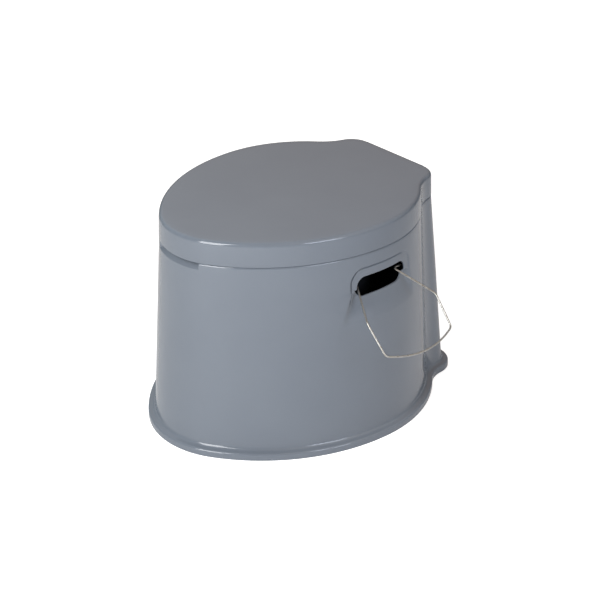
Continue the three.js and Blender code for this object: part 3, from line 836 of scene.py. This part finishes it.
def seat(material):
    """Hollow-backed ring with hinge arms behind and a boss over each buffer."""
    width = 62.0
    profile = rounded(
        [
            (WALL, SEAT_BOTTOM + 1.0),
            (WALL, SEAT_BOTTOM, 0.5),
            (0.0, SEAT_BOTTOM, 0.8),
            (0.7, SEAT_TOP - 1.5, 8.0),
            (width / 2, SEAT_TOP, 60.0),
            (width - 9.0, SEAT_TOP - 2.5, 9.0),
            (width, SEAT_TOP - 12.0, 5.0),
            (width, SEAT_BOTTOM, 0.8),
            (width - WALL, SEAT_BOTTOM, 0.5),
            (width - WALL, SEAT_TOP - 12.5, 4.0),
            (width - 11.0, SEAT_TOP - 5.5, 7.0),
            (width / 2, SEAT_TOP - WALL, 60.0),
            (WALL + 1.2, SEAT_TOP - 4.5, 5.0),
            (WALL, SEAT_BOTTOM + 1.0),
        ],
        steps=7,
    )
    sheet = Sheet()
    sheet.stack([seat_row(across / width, z) for across, z in profile[:-1]], closed_profile=True)
    build("toilet_seat_shell", sheet, material, "seat", ["toilet_seat"])
    web = {
        "from": -0.75 * math.pi,
        "to": 0.5 * math.pi,
        "root": [(179.0, SEAT_BOTTOM + 5.5), (179.0, SEAT_BOTTOM + 0.4)],
    }
    right = lug_plate(SEAT_KNUCKLE, web)
    build("seat_hinge_arms", joined(right, mirrored(right)), material, "seat")
    bosses = []
    for place in PAD_PLACES.values():
        x, y = place["seat"]
        profile = [(8.0, SEAT_BOTTOM + GAP), (9.0, SEAT_BOTTOM + 1.2), (9.0, SEAT_TOP - 4.0)]
        boss = lathe(profile, 32)
        boss.points = [[px + x, py + y, pz] for px, py, pz in boss.points]
        bosses.append(boss)
    build("seat_bosses", joined(*bosses), material, "seat")


# ------------------------------------------------------------------ buffers and pins


def buffer(name, body, place, radius, low, high, material):
    """Rubber button with a rounded free edge and a moulded dimple."""
    profile = rounded(
        [
            (0.6, low + 0.5),
            (radius * 0.45, low + 0.5, 0.3),
            (radius * 0.5, low, 0.3),
            (radius, low, 1.2),
            (radius, high, 0.3),
            (0.6, high),
        ],
        steps=4,
    )
    sheet = lathe(profile, 40)
    sheet.points = [[x + place[0], y + place[1], z] for x, y, z in sheet.points]
    build(name + "_button", sheet, material, body, [name])


def buffers(material):
    for name, place in PAD_PLACES.items():
        low, high = DECK + GAP, SEAT_BOTTOM - GAP
        buffer(f"seat_buffer_{name}", "seat", place["seat"], SEAT_PAD_RADIUS, low, high, material)
        low, high = SEAT_TOP + GAP, LID_TOP - WALL - GAP
        buffer(f"lid_buffer_{name}", "lid", place["lid"], LID_PAD_RADIUS, low, high, material)


def pins(pin_material, clip_material):
    """Headed hinge pins, each held by a ring at its inner end."""
    head = LUG_SPANS[1][1] + GAP
    tail = LUG_SPANS[0][0] - 2.5
    profile = rounded(
        [
            (0.4, tail),
            (PIN_RADIUS, tail, 0.6),
            (PIN_RADIUS, head, 0.2),
            (PIN_HEAD_RADIUS, head, 0.4),
            (PIN_HEAD_RADIUS, head + 2.4, 0.9),
            (0.4, head + 2.4),
        ],
        steps=4,
    )
    face = LUG_SPANS[0][0] - GAP
    ring = rounded(
        [
            (PIN_RADIUS + GAP, face - 0.7),
            (PIN_RADIUS + GAP, face - 1.4, 0.2),
            (PIN_HEAD_RADIUS, face - 1.4, 0.35),
            (PIN_HEAD_RADIUS, face, 0.35),
            (PIN_RADIUS + GAP, face, 0.2),
            (PIN_RADIUS + GAP, face - 0.7),
        ],
        steps=3,
    )[:-1]
    for name, side in (("right", 1), ("left", -1)):
        pin = lathe(profile, 32)
        clip = lathe(ring, 32, closed_profile=True)
        for sheet in (pin, clip):
            points = along_x(np.array(sheet.points), HINGE_Y, HINGE_Z)
            sheet.points = (points * (side, 1, 1)).tolist()
            if side < 0:
                sheet.faces = [face_ids[::-1] for face_ids in sheet.faces]
        build(f"hinge_pin_{name}_rod", pin, pin_material, "tub", [f"hinge_pin_{name}"])
        build(f"pin_clip_{name}_ring", clip, clip_material, "tub", [f"pin_clip_{name}"])


# ------------------------------------------------------------------ bucket, cover, bail


def oval_sheet(profile, steps=180, closed_profile=False):
    """Skin of squared ovals from (half-axes, height) rows, capped at both ends."""
    angles = np.linspace(0, 2 * math.pi, steps, endpoint=False)
    sheet = Sheet()
    ids = sheet.stack([row(oval_points(axes, angles), z) for axes, z in profile], closed_profile)
    if not closed_profile:
        sheet.cap(ids[0], flip=True)
        sheet.cap(ids[-1])
    return sheet


def bucket(material):
    """Tapered bucket that hangs by its flange, with an ear on each side for the bail."""
    heel = 12.0
    mouth_out = BUCKET_MOUTH[0] + BUCKET_WALL
    floor_out = BUCKET_FLOOR[0] + BUCKET_WALL
    spare = BUCKET_MOUTH[1] - BUCKET_MOUTH[0]
    outside = rounded(
        [
            (30.0, BUCKET_BOTTOM),
            (floor_out - 1, BUCKET_BOTTOM, heel),
            (mouth_out, LEDGE + GAP, 1.0),
            (BUCKET_FLANGE[0], LEDGE + GAP, 0.6),
            (BUCKET_FLANGE[0], FLANGE_TOP, 0.8),
            (BUCKET_MOUTH[0], FLANGE_TOP, 1.2),
            (BUCKET_FLOOR[0] - 1, BUCKET_BOTTOM + BUCKET_WALL, heel - 2),
            (30.0, BUCKET_BOTTOM + BUCKET_WALL),
        ],
        steps=8,
    )
    sheet = oval_sheet([((a, a + spare), z) for a, z in outside])
    build("inner_bucket_shell", sheet, material, "bucket", ["inner_bucket"])
    ears = []
    top = BAIL_Z + 3.2
    outline = [
        (OVAL_Y - 7, FLANGE_TOP - 0.8),
        (OVAL_Y + 7, FLANGE_TOP - 0.8),
        (OVAL_Y + 4.6, top - 1.6),
        (OVAL_Y + 2.6, top),
        (OVAL_Y - 2.6, top),
        (OVAL_Y - 4.6, top - 1.6),
    ]
    for side in (1, -1):
        ear = extrude_x(outline, *EAR_SPAN, bevel=0.3)
        ears.append(ear if side > 0 else mirrored(ear))
    build("bucket_ears", joined(*ears), material, "bucket")


def cover(material):
    """Cover with a plug that fits the mouth, a sunken dish and a grip bar across it."""
    plate = COVER_TOP - FLANGE_TOP - GAP
    under = COVER_TOP - plate
    floor = COVER_TOP - COVER_DISH_DEPTH
    spare = COVER_RIM[1] - COVER_RIM[0]
    dish = COVER_DISH[0]
    rim = COVER_RIM[0]
    plug = BUCKET_MOUTH[0] - 1.2
    profile = rounded(
        [
            (12.0, floor - plate),
            (dish - 3.0, floor - plate, 5.0),
            (dish + 2.5, under, 1.0),
            (plug - 2.5, under, 0.5),
            (plug - 2.5, under - 6, 0.4),
            (plug - 0.6, under - 6, 0.6),
            (plug, under, 0.4),
            (rim, under, 0.4),
            (rim, COVER_TOP, 1.0),
            (dish + 0.5, COVER_TOP, 2.0),
            (dish - 5.0, floor, 4.0),
            (12.0, floor),
        ],
        steps=6,
    )
    sheet = oval_sheet([((a, a + spare), z) for a, z in profile])
    build("bucket_cover_plate", sheet, material, "cover", ["bucket_cover"])
    bar = rounded(
        [
            (0.0, COVER_TOP - 6),
            (8.0, COVER_TOP - 6, 3.4),
            (8.0, COVER_TOP + 2.2, 3.4),
            (-8.0, COVER_TOP + 2.2, 3.4),
            (-8.0, COVER_TOP - 6, 3.4),
            (0.0, COVER_TOP - 6),
        ],
        steps=6,
    )[:-1]
    outline = [(OVAL_Y + y, z) for y, z in bar]
    sheet = extrude_x(outline, -dish - 1.0, dish + 1.0, bevel=0.4)
    build("cover_grip_bar", sheet, material, "cover")


def bail(material):
    """Wire from ear to ear, swung back round the rear of the cover."""

    def spot(x, y):
        return np.array((x, OVAL_Y + y, BAIL_Z))

    bend = 3.0
    hook, corner = spot(EAR_SPAN[0] + 0.5, 0), spot(BAIL_HALF_WIDTH, 0)
    shoulder, rear_end = spot(BAIL_HALF_WIDTH, 30), spot(GRIP_HALF_LENGTH + 4, BAIL_REACH)
    half = bezier([hook, toward(corner, hook, bend)], 3)
    half += bezier([toward(corner, hook, bend), corner, toward(corner, shoulder, bend)], 8)
    half += bezier([toward(corner, shoulder, bend), shoulder], 6)
    half += bezier([shoulder, spot(BAIL_HALF_WIDTH, 95), spot(78, BAIL_REACH), rear_end], 48)
    half += bezier([rear_end, spot(0, BAIL_REACH)], 4)
    path = half + [spot(0, BAIL_REACH)] + [p * (-1, 1, 1) for p in half[::-1]]
    build("bail_wire_rod", tube(path, BAIL_RADIUS), material, "bail", ["bail_wire"])


def bail_grip(material):
    """Sleeve with shallow ridges round it."""
    end = GRIP_HALF_LENGTH
    edge = [(BAIL_RADIUS + GAP, end), (GRIP_RADIUS - 0.9, end), (GRIP_RADIUS - 0.2, end - 0.5)]
    profile = [(radius, -x) for radius, x in edge]
    samples = 6
    count = GRIP_RIDGES * samples
    for k in range(count + 1):
        x = -end + 2 + (2 * end - 4) * k / count
        dip = 0.45 * (0.5 - 0.5 * math.cos(2 * math.pi * k / samples))
        profile.append((GRIP_RADIUS - dip, x))
    profile += edge[::-1]
    sheet = lathe(profile, 32, closed_profile=True)
    points = along_x(np.array(sheet.points), OVAL_Y + BAIL_REACH, BAIL_Z)
    sheet.points = points.tolist()
    build("bail_grip_sleeve", sheet, material, "grip", ["bail_grip"])


# ------------------------------------------------------------------ roll holder


def roll_holder(material):
    """Bent wire: hooked end, kinked leg and bowed bar, alike on both sides."""
    front = np.array((1, -1, 1))
    tip = np.array((HOLDER_PIVOT[0], -HOLDER_TIP_Y, HOLDER_PIVOT[1]))
    hook = np.array((HOLDER_PIVOT[0], -HOLDER_HOOK_Y, HOLDER_PIVOT[1]))
    kink, corner = np.array(HOLDER_KINK) * front, np.array(HOLDER_CORNER) * front
    bow = np.array((2 * HOLDER_APEX[0] - corner[0], 0.0, 2 * HOLDER_APEX[2] - corner[2]))
    bend = 5.0
    half = []
    start = tip
    for before, here, after in ((tip, hook, kink), (hook, kink, corner)):
        half += bezier([start, toward(here, before, bend)], 8)
        half += bezier([toward(here, before, bend), here, toward(here, after, bend)], 8)
        start = toward(here, after, bend)
    half += bezier([start, toward(corner, kink, bend)], 8)
    bar_start = toward(corner, bow, bend)
    half += bezier([toward(corner, kink, bend), corner, bar_start], 10)
    bar = bezier([bar_start, bow, bar_start * front], 40)
    path = half + bar + [p * front for p in half[::-1]]
    path.insert(len(half) + len(bar), bar_start * front)
    build("roll_holder_rod", tube(path, HOLDER_RADIUS), material, "holder", ["roll_holder"])


# ------------------------------------------------------------------ materials


def node(tree, kind, inputs=None, **settings):
    """Adds a shader node, sets its options and its inputs (values or sockets)."""
    made = tree.nodes.new(kind)
    for key, value in settings.items():
        setattr(made, key, value)
    for key, value in (inputs or {}).items():
        socket = made.inputs[key]
        if isinstance(value, bpy.types.NodeSocket):
            tree.links.new(value, socket)
        else:
            socket.default_value = value
    return made


def noise(tree, where, scale, detail=2.0, roughness=0.5):
    inputs = {"Vector": where, "Scale": scale, "Detail": detail, "Roughness": roughness}
    return node(tree, "ShaderNodeTexNoise", inputs).outputs["Fac"]


def remap(tree, value, low, high, start=0.3, end=0.7):
    inputs = {"Value": value, "From Min": start, "From Max": end, "To Min": low, "To Max": high}
    return node(tree, "ShaderNodeMapRange", inputs).outputs["Result"]


def blank(name):
    """Material with an empty principled shader and object coordinates in metres."""
    material = bpy.data.materials.new(name)
    material.use_nodes = True
    tree = material.node_tree
    shader = tree.nodes["Principled BSDF"]
    where = node(tree, "ShaderNodeTexCoord").outputs["Object"]
    return material, tree, shader, where


def mix_colors(tree, factor, first, second):
    """Colour mix; the node's colour sockets are inputs 6 and 7 and output 2."""
    inputs = {0: factor, 6: first, 7: second}
    return node(tree, "ShaderNodeMix", inputs, data_type="RGBA").outputs[2]


def bumped(tree, height, strength, distance, normal=None):
    inputs = {"Height": height, "Strength": strength, "Distance": distance}
    if normal is not None:
        inputs["Normal"] = normal
    return node(tree, "ShaderNodeBump", inputs).outputs["Normal"]


def moulded_plastic(name, light, dark, roughness):
    """Moulded plastic: cloudy pigment, smudged gloss, faint orange peel and fine scratches."""
    material, tree, shader, where = blank(name)
    cloud = remap(tree, noise(tree, where, 9.0, 3.0), 0.0, 1.0)
    speck = remap(tree, noise(tree, where, 1400.0, 1.0), 0.0, 0.25, 0.55, 0.75)
    pigment = mix_colors(tree, cloud, (*dark, 1), (*light, 1))
    speckled = mix_colors(tree, speck, pigment, (*[c * 0.8 for c in dark], 1))
    tree.links.new(speckled, shader.inputs["Base Color"])

    smudge = noise(tree, where, 22.0, 4.0, 0.6)
    gloss = remap(tree, smudge, roughness - 0.04, roughness + 0.07)
    tree.links.new(gloss, shader.inputs["Roughness"])
    shader.inputs["IOR"].default_value = 1.49

    stretch = {"Vector": where, "Scale": (1.0, 1.0, 0.06), "Rotation": (0.3, 0.2, 0.5)}
    stretched = node(tree, "ShaderNodeMapping", stretch).outputs["Vector"]
    scratch = remap(tree, noise(tree, stretched, 900.0, 2.0), 0.0, 1.0, 0.62, 0.72)
    coarse = bumped(tree, noise(tree, where, 180.0, 2.0), 0.5, 0.00001)
    fine = bumped(tree, scratch, 0.15, 0.00002, coarse)
    tree.links.new(fine, shader.inputs["Normal"])
    return material


def drawn_wire(name, color, roughness):
    """Drawn, plated steel wire: a slightly warmer tint in patches and faint drawing marks."""
    material, tree, shader, where = blank(name)
    patch = remap(tree, noise(tree, where, 25.0, 2.0), 0.0, 1.0)
    warm = (color[0] * 0.9, color[1] * 0.87, color[2] * 0.8, 1)
    tint = mix_colors(tree, patch, (*color, 1), warm)
    tree.links.new(tint, shader.inputs["Base Color"])
    shader.inputs["Metallic"].default_value = 1.0
    gloss = remap(tree, noise(tree, where, 400.0, 3.0), roughness - 0.06, roughness + 0.1)
    tree.links.new(gloss, shader.inputs["Roughness"])
    marks = bumped(tree, noise(tree, where, 2500.0, 2.0), 0.15, 0.00002)
    tree.links.new(marks, shader.inputs["Normal"])
    return material


def matt_rubber(name, color):
    """Matt rubber with a fine grain and a little dust."""
    material, tree, shader, where = blank(name)
    dust = remap(tree, noise(tree, where, 180.0, 4.0), 0.0, 1.0)
    tint = mix_colors(tree, dust, (*color, 1), (*[c * 2.2 for c in color], 1))
    tree.links.new(tint, shader.inputs["Base Color"])
    shader.inputs["Roughness"].default_value = 0.75
    grain = bumped(tree, noise(tree, where, 3000.0, 2.0), 0.4, 0.00004)
    tree.links.new(grain, shader.inputs["Normal"])
    return material


# ------------------------------------------------------------------ studio

# Angles in degrees, lengths in millimetres.
CAMERA_AZIMUTH = 49.47
CAMERA_ELEVATION = 28.56
CAMERA_DISTANCE = 2233.0
CAMERA_LENS = 88.67
AIM_SIDEWAYS = -2.64
AIM_HEIGHT = 141.04
FLOOR_LIFT = 0.6
GLOW_REACH = 50

# Soft glows on the studio walls: azimuth, elevation, colour.
GLOWS = (
    (90, 45, (0.31, 0.15, 0.0)),
    (135, 45, (0.69, 0.7, 0.68)),
    (225, 45, (0.49, 0.36, 0.29)),
    (270, 45, (0.58, 0.71, 0.8)),
)


def direction(azimuth, elevation):
    """Unit vector from the object towards a place round it; azimuth 0 is in front of it."""
    a, e = math.radians(azimuth), math.radians(elevation)
    return Vector((math.sin(a) * math.cos(e), -math.cos(a) * math.cos(e), math.sin(e)))


def look_at(thing, place, target):
    thing.location = place
    thing.rotation_euler = (target - place).to_track_quat("-Z", "Y").to_euler()


def softbox(name, azimuth, elevation, distance, width, height, power, color=(1, 1, 1)):
    """Rectangular lamp that points at the object; sizes in metres, power in watts."""
    light = bpy.data.lights.new(name, "AREA")
    light.shape = "RECTANGLE"
    light.size, light.size_y = width, height
    light.energy = power
    light.color = color
    lamp = bpy.data.objects.new(name, light)
    bpy.context.scene.collection.objects.link(lamp)
    target = at(0, 0, 170)
    look_at(lamp, target + direction(azimuth, elevation) * distance, target)


def glow(tree, where, azimuth, elevation, color):
    """Soft patch of light on the studio walls, fading out at GLOW_REACH from its middle."""
    inputs = {0: where, 1: direction(azimuth, elevation)}
    nearness = node(tree, "ShaderNodeVectorMath", inputs, operation="DOT_PRODUCT").outputs["Value"]
    edge = math.cos(math.radians(GLOW_REACH))
    inputs = {"Value": nearness, "From Min": edge, "From Max": 1.0, "To Min": 0.0, "To Max": 1.0}
    fade = node(tree, "ShaderNodeMapRange", inputs, interpolation_type="SMOOTHSTEP")
    scaled = node(tree, "ShaderNodeVectorMath", {0: color}, operation="SCALE")
    tree.links.new(fade.outputs["Result"], scaled.inputs["Scale"])
    return scaled.outputs["Vector"]


def studio_walls():
    """World light: soft glows round the object, and plain white where the camera sees the world."""
    world = bpy.data.worlds.new("studio")
    bpy.context.scene.world = world
    world.use_nodes = True
    tree = world.node_tree
    background = tree.nodes["Background"]
    where = node(tree, "ShaderNodeTexCoord").outputs["Generated"]
    total = None
    for azimuth, elevation, color in GLOWS:
        patch = glow(tree, where, azimuth, elevation, color)
        if total is not None:
            patch = node(tree, "ShaderNodeVectorMath", {0: total, 1: patch}).outputs["Vector"]
        total = patch
    seen = node(tree, "ShaderNodeLightPath").outputs["Is Camera Ray"]
    shown = mix_colors(tree, seen, total, (1.0, 1.0, 1.0, 1.0))
    tree.links.new(shown, background.inputs["Color"])


def studio_floor():
    """Pale floor, lifted a little so that the camera sees it as light as the walls."""
    floor = bpy.data.meshes.new("floor")
    reach = 6.0
    corners = [(-reach, -reach, 0), (reach, -reach, 0), (reach, reach, 0), (-reach, reach, 0)]
    floor.from_pydata(corners, [], [(0, 1, 2, 3)])
    material, tree, shader, where = blank("pale_floor")
    tone = remap(tree, noise(tree, where, 3.0, 3.0), 0.86, 0.9)
    tree.links.new(tone, shader.inputs["Base Color"])
    shader.inputs["Roughness"].default_value = 0.7
    shader.inputs["Emission Color"].default_value = (1, 1, 1, 1)
    seen = node(tree, "ShaderNodeLightPath").outputs["Is Camera Ray"]
    lift = node(tree, "ShaderNodeMath", {0: seen, 1: FLOOR_LIFT}, operation="MULTIPLY")
    tree.links.new(lift.outputs["Value"], shader.inputs["Emission Strength"])
    floor.materials.append(material)
    ground = bpy.data.objects.new("floor", floor)
    bpy.context.scene.collection.objects.link(ground)


def studio_camera():
    camera = bpy.data.cameras.new("camera")
    camera.lens = CAMERA_LENS
    camera.sensor_width = 36.0
    eye = bpy.data.objects.new("camera", camera)
    bpy.context.scene.collection.objects.link(eye)
    azimuth = math.radians(CAMERA_AZIMUTH)
    aim = at(AIM_SIDEWAYS * math.cos(azimuth), AIM_SIDEWAYS * math.sin(azimuth), AIM_HEIGHT)
    back = direction(CAMERA_AZIMUTH, CAMERA_ELEVATION)
    look_at(eye, aim + back * CAMERA_DISTANCE * MM, aim)
    bpy.context.scene.camera = eye


def studio():
    studio_walls()
    softbox("key_softbox", 12.5, 30, 2.6, 1.1, 2.0, 75)
    softbox("fill_softbox", 88.5, 28, 2.6, 0.95, 1.0, 21, (0.88, 0.97, 1.14))
    studio_floor()
    studio_camera()
    bpy.context.scene.view_settings.view_transform = "Standard"


# ------------------------------------------------------------------ assembly

shell = moulded_plastic("blue_grey_plastic", (0.143, 0.165, 0.195), (0.135, 0.156, 0.186), 0.1)
charcoal = moulded_plastic("charcoal_plastic", (0.026, 0.029, 0.034), (0.021, 0.024, 0.028), 0.38)
pin_plastic = moulded_plastic("pin_plastic", (0.11, 0.125, 0.15), (0.1, 0.115, 0.14), 0.35)
steel = drawn_wire("plated_wire", (0.42, 0.42, 0.415), 0.3)
grip_plastic = moulded_plastic("grip_plastic", (0.016, 0.017, 0.019), (0.013, 0.014, 0.016), 0.5)
rubber = matt_rubber("black_rubber", (0.018, 0.018, 0.019))

outer_tub(shell)
lid(shell)
seat(shell)
buffers(rubber)
pins(pin_plastic, steel)
bucket(charcoal)
cover(charcoal)
bail(steel)
bail_grip(grip_plastic)
roll_holder(steel)
studio()
